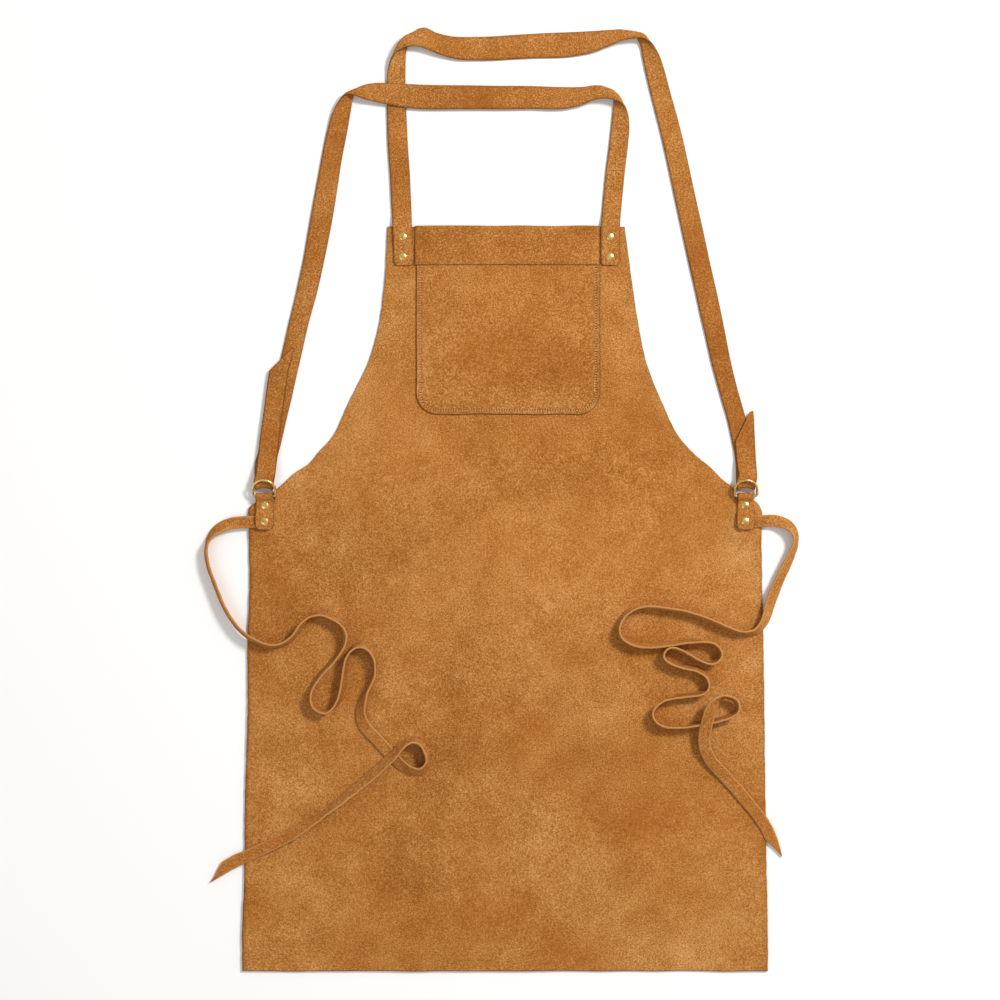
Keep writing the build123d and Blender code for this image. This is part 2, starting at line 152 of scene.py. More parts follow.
def spread(tree, value, low, high):
    """The value's middle range from 0.25 to 0.75, stretched between low and high."""
    node = tree.nodes.new("ShaderNodeMapRange")
    node.inputs["From Min"].default_value = 0.25
    node.inputs["From Max"].default_value = 0.75
    node.inputs["To Min"].default_value = low
    node.inputs["To Max"].default_value = high
    tree.links.new(value, node.inputs["Value"])
    return node.outputs["Result"]


def combine(tree, operation, first, second):
    node = tree.nodes.new("ShaderNodeMath")
    node.operation = operation
    for socket, value in zip(node.inputs, (first, second)):
        if isinstance(value, (int, float)):
            socket.default_value = value
        else:
            tree.links.new(value, socket)
    return node.outputs["Value"]


def ramp(tree, value, stops):
    node = tree.nodes.new("ShaderNodeValToRGB")
    elements = node.color_ramp.elements
    while len(elements) < len(stops):
        elements.new(0.5)
    for element, (position, colour) in zip(elements, stops):
        element.position = position
        element.color = (*colour, 1)
    tree.links.new(value, node.inputs["Fac"])
    return node.outputs["Color"]


def mix_colour(tree, factor, first, second):
    node = tree.nodes.new("ShaderNodeMix")
    node.data_type = "RGBA"
    tree.links.new(factor, node.inputs["Factor"])
    for socket, colour in ((node.inputs[6], first), (node.inputs[7], second)):
        if isinstance(colour, tuple):
            socket.default_value = (*colour, 1)
        else:
            tree.links.new(colour, socket)
    return node.outputs[2]


def attribute(tree, name):
    node = tree.nodes.new("ShaderNodeAttribute")
    node.attribute_name = name
    return node.outputs["Fac"]


def object_place(tree, offset):
    coordinates = tree.nodes.new("ShaderNodeTexCoord")
    mapping = tree.nodes.new("ShaderNodeMapping")
    mapping.inputs["Location"].default_value = offset
    tree.links.new(coordinates.outputs["Object"], mapping.inputs["Vector"])
    return mapping.outputs["Vector"]


def add_bump(tree, shader, height, strength, distance):
    node = tree.nodes.new("ShaderNodeBump")
    node.inputs["Strength"].default_value = strength
    node.inputs["Distance"].default_value = distance
    tree.links.new(height, node.inputs["Height"])
    tree.links.new(node.outputs["Normal"], shader.inputs["Normal"])


SUEDE_DARK = (0.225, 0.070, 0.011)
SUEDE_MIDDLE = (0.395, 0.153, 0.031)
SUEDE_LIGHT = (0.515, 0.230, 0.060)
SUEDE_PALE = (0.70, 0.39, 0.15)
SUEDE_RED = (0.39, 0.122, 0.018)
# Cut edge of the hide and straps, near black: partly the edge's own darker colour, partly painted shade of the
# shadowed side face and of the shadow beside it.
EDGE_DARK_AND_SHADE = (0.13, 0.042, 0.010)
EDGE_PALE = (0.52, 0.25, 0.085)
# Cut edge of the pocket, near black: a painted shadow line round the pocket, with some of the edge's own colour.
POCKET_EDGE_AND_SHADOW = (0.15, 0.048, 0.011)
EDGE_FACING = (0.42, 0.175, 0.045)
# Painted shade for the stitch holes and the leather just beside them.
HOLE_PAINTED_SHADE = (0.055, 0.018, 0.005)


def suede(name, offset, tone, contrast, edge):
    """Napped split leather: wide cloudy patches, brushed mottling and a fine light and dark grain."""
    material, tree, shader = new_material(name)
    place = object_place(tree, offset)
    clouds = spread(tree, noise_at(tree, place, 5.0, 3.0), -0.19, 0.19)
    mottling = spread(tree, noise_at(tree, place, 26.0, 5.0, 0.65), -0.17, 0.17)
    grain_value = noise_at(tree, place, 560.0, 3.0, 0.7)
    grain = spread(tree, grain_value, -0.47 * contrast, 0.47 * contrast)
    nap_value = noise_at(tree, place, 1300.0, 2.0, 0.7)
    nap = spread(tree, nap_value, -0.42 * contrast, 0.42 * contrast)
    depth = combine(tree, "ADD", clouds, mottling)
    depth = combine(tree, "ADD", depth, grain)
    depth = combine(tree, "ADD", depth, nap)
    depth = combine(tree, "ADD", depth, 0.5 + tone)
    stops = [(0.12, SUEDE_DARK), (0.42, SUEDE_MIDDLE), (0.66, SUEDE_LIGHT), (0.93, SUEDE_PALE)]
    colour = ramp(tree, depth, stops)
    red = spread(tree, noise_at(tree, place, 7.0, 3.0), 0.0, 0.45)
    colour = mix_colour(tree, red, colour, SUEDE_RED)
    # Cut edges take the given edge colour, which for the hide, pocket and straps is partly painted shade. The stitch
    # holes get painted shade.
    colour = mix_colour(tree, attribute(tree, "rim"), colour, edge)
    colour = mix_colour(tree, attribute(tree, "hole"), colour, HOLE_PAINTED_SHADE)
    tree.links.new(colour, shader.inputs["Base Color"])
    roughness = spread(tree, grain_value, 0.84, 0.98)
    tree.links.new(roughness, shader.inputs["Roughness"])
    shader.inputs["Specular IOR Level"].default_value = 0.05
    shader.inputs["Sheen Weight"].default_value = 0.03
    shader.inputs["Sheen Roughness"].default_value = 0.45
    shader.inputs["Sheen Tint"].default_value = (0.95, 0.70, 0.42, 1)
    height = combine(tree, "ADD", grain_value, nap_value)
    add_bump(tree, shader, height, 0.55, 0.0006)
    return material


def brass():
    """Polished brass with faint tarnish and fine handling marks."""
    material, tree, shader = new_material("brass")
    place = object_place(tree, (0.3, 0.1, 0.2))
    tarnish = noise_at(tree, place, 260.0, 3.0)
    colour = ramp(tree, tarnish, [(0.3, (0.56, 0.34, 0.09)), (0.5, (0.80, 0.54, 0.18)), (0.7, (0.90, 0.68, 0.30))])
    tree.links.new(colour, shader.inputs["Base Color"])
    shader.inputs["Metallic"].default_value = 1.0
    tree.links.new(spread(tree, tarnish, 0.20, 0.34), shader.inputs["Roughness"])
    add_bump(tree, shader, noise_at(tree, place, 1800.0, 2.0), 0.12, 0.0002)
    return material


def sewing_thread():
    """Twisted thread: fine slanted bands that show its plies."""
    material, tree, shader = new_material("thread")
    place = object_place(tree, (0.0, 0.0, 0.0))
    bands = tree.nodes.new("ShaderNodeTexWave")
    bands.bands_direction = "DIAGONAL"
    bands.inputs["Scale"].default_value = 900.0
    bands.inputs["Distortion"].default_value = 1.5
    tree.links.new(place, bands.inputs["Vector"])
    colour = ramp(tree, bands.outputs["Fac"], [(0.0, (0.56, 0.31, 0.12)), (1.0, (0.88, 0.63, 0.34))])
    tree.links.new(colour, shader.inputs["Base Color"])
    tree.links.new(spread(tree, bands.outputs["Fac"], 0.6, 0.8), shader.inputs["Roughness"])
    add_bump(tree, shader, bands.outputs["Fac"], 0.4, 0.0002)
    return material


# ---------------------------------------------------------------- mesh helpers

def smoothstep(low, high, value):
    share = np.clip((value - low) / (high - low), 0, 1)
    return share * share * (3 - 2 * share)


def curve_through(rows, places):
    """Smooth rows of numbers through the given ones, at these distances along their first three columns."""
    rows = np.array(rows, float)
    gaps = np.linalg.norm(np.diff(rows[:, :3], axis=0), axis=1)
    marks = np.concatenate([[0], np.cumsum(gaps)])
    slopes = np.gradient(rows, marks, axis=0)
    at = np.clip(places, 0, marks[-1])
    start = np.clip(np.searchsorted(marks, at, "right") - 1, 0, len(marks) - 2)
    span = (marks[start + 1] - marks[start])[:, None]
    share = (at - marks[start])[:, None] / span
    near = (1 + 2 * share) * (1 - share) ** 2 * rows[start] + share * (1 - share) ** 2 * span * slopes[start]
    far = share**2 * (3 - 2 * share) * rows[start + 1] + share**2 * (share - 1) * span * slopes[start + 1]
    return near + far


def run_length(rows):
    rows = np.array(rows, float)
    return float(np.linalg.norm(np.diff(rows[:, :3], axis=0), axis=1).sum())


def unit(vectors):
    return vectors / np.maximum(np.linalg.norm(vectors, axis=-1, keepdims=True), 1e-9)


def add_piece(name, points, faces, material, rim=None, hole=None):
    """A mesh object from points in millimetres, with how much each point is on a cut edge or in a hole. The
    materials paint these with the edge colour, partly painted shade, and with painted shade in the holes.
    """
    mesh = bpy.data.meshes.new(name)
    mesh.from_pydata([tuple(point) for point in np.array(points) * MM], [], faces)
    for key, values in (("rim", rim), ("hole", hole)):
        layer = mesh.attributes.new(key, "FLOAT", "POINT")
        layer.data.foreach_set("value", np.zeros(len(points)) if values is None else np.array(values, float))
    mesh.polygons.foreach_set("use_smooth", [True] * len(mesh.polygons))
    mesh.materials.append(material)
    mesh.update()
    piece = bpy.data.objects.new(name, mesh)
    bpy.context.scene.collection.objects.link(piece)
    return piece


def leather(name, middle, thickness, material, hole=None, joined=False, flat_lying=False, rim_reach=0.3):
    """A sheet of leather with rounded cut edges, from a grid of points on its middle surface.
    With joined, the last column is folded onto itself and has no edge: its two halves are one line.
    With flat_lying, its thickness is measured straight up. rim_reach is how much of the cut edge's
    colour the faces have beside it; where that colour is dark, this widens a line of painted shade along the edge."""
    rows, cols = middle.shape[:2]
    along, across = np.gradient(middle, axis=0), np.gradient(middle, axis=1)
    half = unit(np.cross(across, along)) * thickness / 2
    if flat_lying:
        half = np.zeros_like(middle) + (0, 0, thickness / 2)
    border = [(0, j) for j in range(cols)] + [(i, cols - 1) for i in range(1, rows)]
    border += [(rows - 1, j) for j in range(cols - 2, -1, -1)] + [(i, 0) for i in range(rows - 2, 0, -1)]
    inward = np.zeros_like(middle)
    inward[:, 0] += unit(middle[:, 1] - middle[:, 0])
    inward[:, -1] += unit(middle[:, -2] - middle[:, -1]) * (not joined)
    inward[0] += unit(middle[1] - middle[0])
    inward[-1] += unit(middle[-2] - middle[-1])
    inset = inward * thickness * 0.22
    top = (middle + half + inset).reshape(-1, 3)
    bottom = (middle - half + inset).reshape(-1, 3)
    ring = np.array([middle[i, j] for i, j in border])
    points = np.vstack([top, bottom, ring])
    count = rows * cols
    faces = []
    for i in range(rows - 1):
        for j in range(cols - 1):
            a, b, c, d = i * cols + j, i * cols + j + 1, (i + 1) * cols + j + 1, (i + 1) * cols + j
            faces.append((a, b, c, d))
            faces.append((count + d, count + c, count + b, count + a))
    flat = [i * cols + j for i, j in border]
    for k, here in enumerate(flat):
        if joined and cols - 1 <= k < cols + rows - 2:
            continue
        next_k = (k + 1) % len(flat)
        there = flat[next_k]
        ring_here, ring_there = 2 * count + k, 2 * count + next_k
        faces.append((ring_here, ring_there, there, here))
        faces.append((count + here, count + there, ring_there, ring_here))
    rim = np.zeros(len(points))
    rim[2 * count:] = 1.0
    outer = [i * cols + j for i, j in border if not (joined and j == cols - 1)]
    rim[outer] = rim_reach
    rim[[count + index for index in outer]] = rim_reach
    holes = None
    if hole is not None:
        holes = np.concatenate([hole.ravel(), hole.ravel() * 0, np.zeros(len(ring))])
    piece = add_piece(name, points, faces, material, rim, holes)
    if joined:
        weld(piece.data)
    return piece


def weld(mesh):
    """Points in one place become one point, and faces and points that this leaves unused go."""
    shape = bmesh.new()
    shape.from_mesh(mesh)
    bmesh.ops.remove_doubles(shape, verts=shape.verts, dist=0.02 * MM)
    loose = [vertex for vertex in shape.verts if not vertex.link_faces]
    bmesh.ops.delete(shape, geom=loose, context="VERTS")
    shape.to_mesh(mesh)
    shape.free()


def strip_grid(stations, spacing, columns, round_start=0.0, round_end=0.0):
    """A strip's middle surface. A station is one edge's point, the other edge's, and how far the middle bows."""
    table = []
    for station in stations:
        first, second = np.array(station[:3], float), np.array(station[3:6], float)
        bow = np.array(station[6:9], float) if len(station) > 6 else np.zeros(3)
        table.append(np.concatenate([(first + second) / 2 + bow, first, second]))
    length = run_length(table)
    places = list(np.linspace(0, length, int(length / spacing) + 2))
    for radius, base, sign in ((round_start, 0, 1), (round_end, length, -1)):
        places += [base + sign * radius * share for share in (0.03, 0.1, 0.2, 0.35, 0.6, 1.0) if radius]
    places = np.array(sorted(places))
    rows = curve_through(table, places)
    middle, first, second = rows[:, :3], rows[:, 3:6], rows[:, 6:9]
    width = np.linalg.norm(second - first, axis=1)
    shrink = np.zeros(len(places))
    for radius, reach in ((round_start, places), (round_end, length - places)):
        if radius:
            left = np.clip(radius - reach, 0, radius)
            shrink = np.maximum(shrink, (radius - np.sqrt(radius**2 - left**2)) / (width / 2))
    first = first + (middle - first) * shrink[:, None]
    second = second + (middle - second) * shrink[:, None]
    across = np.linspace(-1, 1, columns)[None, :, None]
    grid = first[:, None] * across * (across - 1) / 2 + middle[:, None] * (1 - across**2)
    return grid + second[:, None] * across * (across + 1) / 2


def roughen(grid, size, wave):
    """The grid with slight irregular bends sideways, as hand-cut leather has."""
    for point in grid.reshape(-1, 3):
        point[:2] += np.array(noise.noise_vector(Vector(point / wave)))[:2] * size
    return grid


# ---------------------------------------------------------------- the hide

RIGHT_EDGE = [
    (136.8, 311.8), (143.1, 265.6), (150, 216.4), (154.6, 188.9), (162, 156), (178.5, 113.5), (201.5, 68),
    (223.3, 45.8), (235.9, 35.5), (249.6, 21.8), (265.6, 10.3), (284, 0), (290.8, -6.9), (293.1, -12),
    (293.4, -30), (294.4, -100), (296.4, -200), (297.4, -300), (299, -400), (300.6, -500), (300.8, -540.4),
]
LEFT_EDGE = [
    (-134.6, 311.8), (-137.9, 247.3), (-146.6, 188.9), (-153.4, 164.9), (-177.5, 113.4), (-200.4, 67.6),
    (-214.5, 52.7), (-224.4, 40.6), (-239.6, 30.9), (-263.4, 9.6), (-284, -3), (-292.6, -9.7),
    (-293, -25), (-292.6, -100), (-294.6, -160), (-294.6, -250), (-297.6, -340), (-298.6, -440),
    (-301, -500), (-300.6, -540.4),
]
TAB_GAP = 10.7  # half the width of the notch that the tab's loop stands in
NOTCH_Y = -1.2
BIB_CALM_Y = 90.0
HIDE_COLUMNS, EDGE_COLUMNS = 145, 8
EDGE_STRIP = 2.0  # above the notch, the edge columns share this width
CAP_CLEARANCE = 0.2
CAP_REACH = 8.2  # a back cap's radius and one row of the hide's mesh


def edge_at(edge, y):
    """How far out the hide's edge is, at these heights up the apron."""
    edge = np.array(edge, float)
    sign = np.sign(edge[0, 0])
    dense = curve_through(np.column_stack([edge, edge[:, 0] * 0]), np.arange(0, run_length(np.column_stack(
        [edge, edge[:, 0] * 0])), 2.0))
    dense = dense[np.argsort(dense[:, 1])]
    reach = np.interp(y, dense[:, 1], np.abs(dense[:, 0]))
    reach = reach + np.array([0.55 * noise.noise(Vector((value / 9, sign * 5, 0.3))) for value in y])
    return np.where(y > NOTCH_Y, np.minimum(reach, TAB_X - TAB_GAP), reach)


def tab_rise(x, y):
    """The hide is lifted beside each tab's back layer, but not beside the loop, where the rings swing."""
    beside = smoothstep(TAB_GAP + 14, TAB_GAP + 1, abs(abs(x) - TAB_X))
    below = smoothstep(-56, -39, y)
    above = smoothstep(NOTCH_Y - 0.5, NOTCH_Y - 9, y)
    return STRAP * beside * below * above


def cap_rise(x, y):
    """The hide is lifted a little over each back cap on the bib, which lies flush with its underside."""
    nearest = min(math.hypot(x - cap.x, y - cap.y) for cap in BIB_CAPS)
    return CAP_CLEARANCE * float(smoothstep(CAP_REACH + 6, CAP_REACH, nearest))


def hide_rise(x, y):
    """Height of the hide's underside: gentle waves, but flat on the bib and near the tabs."""
    waves = noise.noise(Vector((x / 190, y / 190, 3.1))) + 0.4 * noise.noise(Vector((x / 70, y / 70, 7.7)))
    calm = smoothstep(BIB_CALM_Y, BIB_CALM_Y - 70, y)
    calm *= smoothstep(18, 60, math.hypot(abs(x) - TAB_X, (y + 15) / 1.3))
    return max(0.0, 0.7 + 1.3 * waves) * calm + tab_rise(x, y) + cap_rise(x, y)


def make_hide(material):
    down = [np.arange(311.8, 16, -4.0), np.arange(16, 0, -1.0), [0.0, -0.6, -1.15, -1.25, -1.8]]
    down += [np.arange(-2.5, -44, -1.25), np.arange(-46, -538, -4.0), [-538.5, -540.4]]
    y_rows = np.concatenate(down)[::-1]
    right, left = edge_at(RIGHT_EDGE, y_rows), -edge_at(LEFT_EDGE, y_rows)
    grid = np.zeros((len(y_rows), HIDE_COLUMNS + 2 * EDGE_COLUMNS, 3))
    for i, y in enumerate(y_rows):
        low = max(left[i], TAB_GAP - TAB_X) + EDGE_STRIP
        high = min(right[i], TAB_X - TAB_GAP) - EDGE_STRIP
        columns = np.concatenate([
            np.linspace(left[i], low, EDGE_COLUMNS, endpoint=False), np.linspace(low, high, HIDE_COLUMNS),
            np.linspace(right[i], high, EDGE_COLUMNS, endpoint=False)[::-1],
        ])
        for j, x in enumerate(columns):
            end = smoothstep(-500, -540, y) * 1.1 * noise.noise(Vector((x / 45, 2.2, 0)))
            end += smoothstep(290, 312, y) * 0.7 * noise.noise(Vector((x / 35, 9.2, 0)))
            grid[i, j] = (x, y + end, hide_rise(x, y) + HIDE / 2)
    hide = leather("apron_hide", grid, HIDE, material, flat_lying=True)
    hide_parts("apron_body")
    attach(hide, "root")
    return hide


# ---------------------------------------------------------------- pocket, seam and facing

POCKET_CORNER = 25.0
SEAM_INSET = 4.75
STITCH_PITCH = 2.9
STITCH_LENGTH = 2.0
STITCH_STEPS = 4  # points along the pocket's edge to each stitch
MOUTH_GAPE = 1.1
FACING_REACH = 0.35  # the facing comes this much further down, to meet the pocket's mouth


def u_line(inset, side_steps, corner_steps, bottom_steps):
    """Points down the pocket's left side, round the bottom and up the right side, this far inside its edge."""
    left, right = POCKET_LOW.x + inset, POCKET_HIGH.x - inset
    bottom, top = POCKET_LOW.y + inset, POCKET_HIGH.y
    radius = max(POCKET_CORNER - inset, 0.0)
    points = [(left, top + (bottom + radius - top) * k / side_steps) for k in range(side_steps)]
    for k in range(corner_steps):
        angle = math.pi * (1 + 0.5 * k / corner_steps)
        points.append((left + radius * (1 + math.cos(angle)), bottom + radius * (1 + math.sin(angle))))
    start, end = left + radius, right - radius
    points += [(start + (end - start) * k / bottom_steps, bottom) for k in range(bottom_steps)]
    for k in range(corner_steps):
        angle = math.pi * (1.5 + 0.5 * k / corner_steps)
        points.append((right - radius * (1 - math.cos(angle)), bottom + radius * (1 + math.sin(angle))))
    points += [(right, bottom + radius + (top - bottom - radius) * k / side_steps) for k in range(side_steps + 1)]
    return np.array(points)


def seam_steps():
    """How many mesh steps the sides, corners and bottom take, so that the stitches fall evenly."""
    corner = math.pi / 2 * (POCKET_CORNER - SEAM_INSET)
    side = POCKET_HIGH.y - POCKET_LOW.y - POCKET_CORNER
    bottom = POCKET_HIGH.x - POCKET_LOW.x - 2 * POCKET_CORNER
    return [round(run / STITCH_PITCH) * STITCH_STEPS for run in (side, corner, bottom)]


def pocket_height(x, y):
    """Height of the pocket's middle surface: sewn down at its edge, and standing a little open at its mouth."""
    inset = min(x - POCKET_LOW.x, POCKET_HIGH.x - x, y - POCKET_LOW.y)
    towards_mouth = smoothstep(POCKET_LOW.y, POCKET_HIGH.y, y)
    puff = MOUTH_GAPE * smoothstep(5.5, 48, inset) * (0.35 + 0.65 * towards_mouth)
    wave = 0.35 * noise.noise(Vector((x / 38, y / 38, 1.7))) * smoothstep(6, 25, inset)
    return HIDE * 1.5 + puff + wave + 0.05


def make_pocket(material):
    insets = [0, 0.8, 2.2, 3.6, 4.2, SEAM_INSET, 5.3, 6.0, 7.5, 10, 13, 17, 22, 28, 35, 43, 52, 62, 73, 85, 96]
    insets.append((POCKET_HIGH.x - POCKET_LOW.x) / 2)
    steps = seam_steps()
    lines = [u_line(inset, *steps) for inset in insets]
    grid = np.zeros((len(lines[0]), len(lines), 3))
    hole = np.zeros(grid.shape[:2])
    for j, (inset, line) in enumerate(zip(insets, lines)):
        from_seam = abs(inset - SEAM_INSET)
        groove = 0.42 * smoothstep(1.6, 0, from_seam)
        for i, (x, y) in enumerate(line):
            at_hole = from_seam < 0.1 and i % STITCH_STEPS == 0
            near_hole = 0.1 < from_seam < 0.6 and i % STITCH_STEPS == 0
            # The top face is painted darker in each stitch hole and, at 0.85, just beside it: painted shade of the
            # holes.
            hole[i, j] = 1.0 if at_hole else 0.85 * near_hole
            pull = 0.5 * at_hole + 0.2 * near_hole
            ripple = 0.9 * noise.noise(Vector((x / 30, y / 30, 4.4))) * smoothstep(6, 0, inset) * (y < POCKET_HIGH.y - 30)
            sag = 0.5 * ripple if x < POCKET_LOW.x + 20 or x > POCKET_HIGH.x - 20 else 0.0
            grid[i, j] = (x + sag, y + ripple - sag, pocket_height(x, y) - groove - pull)
    # The pocket's near-black edge colour reaches 0.8 onto the faces beside it, which widens the painted shadow line
    # round the pocket.
    pocket = leather("bib_pocket_patch", grid, HIDE, material, hole, joined=True, flat_lying=True, rim_reach=0.8)
    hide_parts("bib_pocket")
    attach(pocket, "root")
    return grid[:, insets.index(SEAM_INSET)]


def make_stitches(seam, material):
    """One raised bar of thread between each two holes, its ends sunk into them."""
    sides, rings = 6, 7
    points, faces = [], []
    for number in range((len(seam) - 1) // STITCH_STEPS):
        start, end = seam[number * STITCH_STEPS], seam[(number + 1) * STITCH_STEPS]
        heading = unit(end - start)
        aside = unit(np.cross(heading, (0, 0, 1)))
        up = np.cross(aside, heading)
        first = len(points)
        for ring in range(rings):
            share = ring / (rings - 1)
            arch = math.sin(math.pi * share)
            centre = start + (end - start) * (0.22 + 0.56 * share) + up * (HIDE / 2 - 0.05 + 0.55 * arch)
            radius = 0.26 + 0.26 * arch
            for side in range(sides):
                angle = 2 * math.pi * side / sides
                points.append(centre + radius * (math.cos(angle) * aside + math.sin(angle) * up))
        for ring in range(rings - 1):
            for side in range(sides):
                a, b = first + ring * sides + side, first + ring * sides + (side + 1) % sides
                faces.append((a, a + sides, b + sides, b))
        faces.append(tuple(first + side for side in range(sides)))
        faces.append(tuple(first + (rings - 1) * sides + side for side in reversed(range(sides))))
    thread = add_piece("pocket_stitches", points, faces, material)
    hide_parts("pocket_seam_thread")
    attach(thread, "root")


def make_facing(material):
    """The strip turned down along the bib's top, rolled over the hide's edge."""
    left, right = FACING_LOW.x, FACING_HIGH.x
    low, high = FACING_LOW.y - FACING_REACH, FACING_HIGH.y
    z = HIDE * 1.5 + 0.05
    profile = [(low, z + 0.9), (low + 2, z + 0.9), (low + 8, z + 0.5), (290, z), (high - 5, z), (high - 2.2, z - 0.1), (high - 1.1, z - 0.8)]
    stations = [(left, y, height, right, y, height) for y, height in profile]
    grid = strip_grid(stations, 1.6, 71)
    for point in grid.reshape(-1, 3):
        point[1] += 0.8 * noise.noise(Vector((point[0] / 40, 0.4, 0))) * smoothstep(295, 312, point[1])
        point[2] += max(0.0, 0.5 * noise.noise(Vector((point[0] / 50, point[1] / 30, 2.6))))
    facing = leather("bib_facing_strip", grid, HIDE, material)
    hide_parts("bib_facing")
    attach(facing, "root")


# ---------------------------------------------------------------- shoulder straps

ON_BIB = HIDE + STRAP / 2 + 0.05
ON_FLOOR = STRAP / 2
OVER = 3.9  # middle of a strap that lies over another

# Each strap's first edge is the outer one on its riser, the lower one across the top and the outer one going down.
STRAP_FROM_LEFT_BIB = [
    (-127.3, 267.3, ON_BIB, -103.9, 267.3, ON_BIB),
    (-128.0, 292.0, ON_BIB, -105.4, 292.0, ON_BIB),
    (-129.0, 313.0, ON_BIB, -106.6, 313.0, ON_BIB),
    (-129.6, 327.0, ON_FLOOR, -107.1, 327.0, ON_FLOOR),
    (-131.7, 366.4, ON_FLOOR, -108.6, 366.4, ON_FLOOR),
    (-135.1, 424.8, ON_FLOOR, -112.2, 424.8, ON_FLOOR),
    (-135.3, 470.0, 1.3, -113.9, 470.0, ON_FLOOR),
    (-134.6, 488.0, 3.6, -114.0, 491.0, 1.2, 0, 0, -0.3),
    (-131.0, 500.5, 7.2, -113.6, 505.5, 1.4, -1.6, 1.2, -0.4),
    (-123.0, 510.5, 10.0, -111.6, 517.0, 1.8, -4.6, 5.0, 0.2),
    (-113.0, 515.6, 10.6, -107.6, 527.5, 2.4, -3.6, 6.6, 1.6),
    (-104.0, 516.9, 9.6, -101.5, 535.5, 3.0, -1.6, 3.0, 2.2),
    (-93.5, 515.3, 7.9, -93.0, 539.0, 3.2, 0, 0.5, 1.8),
    (-76.7, 508.6, 5.4, -78.5, 533.4, 3.0, 0, 0, 0.8),
    (-56.1, 502.9, 3.6, -60.0, 529.4, 2.3),
    (-29.8, 501.9, 2.2, -29.8, 529.0, 1.6),
    (28.6, 504.2, 1.4, 28.6, 532.4, 1.4),
    (80.2, 506.8, 2.2, 82.0, 534.6, 1.8),
    (103.0, 511.5, 4.4, 104.0, 535.6, 2.6, 0, 0, 0.8),
    (120.0, 518.0, 6.6, 120.0, 536.2, 3.2, 0, 0.3, 1.8),
    (134.0, 523.3, 8.8, 133.0, 536.4, 3.2, 0.3, 1.4, 2.0),
    (146.0, 525.4, 10.2, 143.5, 533.5, 2.6, 2.4, 3.6, 1.2),
    (157.0, 525.6, 10.2, 151.0, 526.5, 1.9, 4.6, 4.6, 0.2),
    (166.5, 520.8, 8.6, 155.3, 517.0, 1.5, 2.6, 2.4, -0.2),
    (174.8, 510.5, 6.2, 157.2, 506.0, 1.3, 1.0, 0.8, -0.4),
    (181.6, 493.0, 3.4, 160.2, 490.5, ON_FLOOR),
    (188.0, 470.5, 1.6, 165.4, 468.0, ON_FLOOR),
    (200.4, 424.8, ON_FLOOR, 177.0, 422.5, ON_FLOOR),
    (223.3, 322.9, ON_FLOOR, 199.4, 320.0, ON_FLOOR),
    (245.0, 224.0, ON_FLOOR, 221.2, 221.0, ON_FLOOR),
    (266.4, 124.8, ON_FLOOR, 245.2, 122.0, ON_FLOOR),
    (275.6, 92.7, ON_FLOOR, 254.4, 90.0, ON_FLOOR),
    (281.2, 69.8, ON_FLOOR, 259.2, 68.0, ON_FLOOR),
    (286.2, 43.5, ON_FLOOR, 263.7, 43.0, ON_FLOOR),
    (286.6, 27.0, ON_FLOOR, 264.2, 27.0, ON_FLOOR),
    (286.2, 16.5, ON_FLOOR, 264.4, 16.5, ON_FLOOR),
]
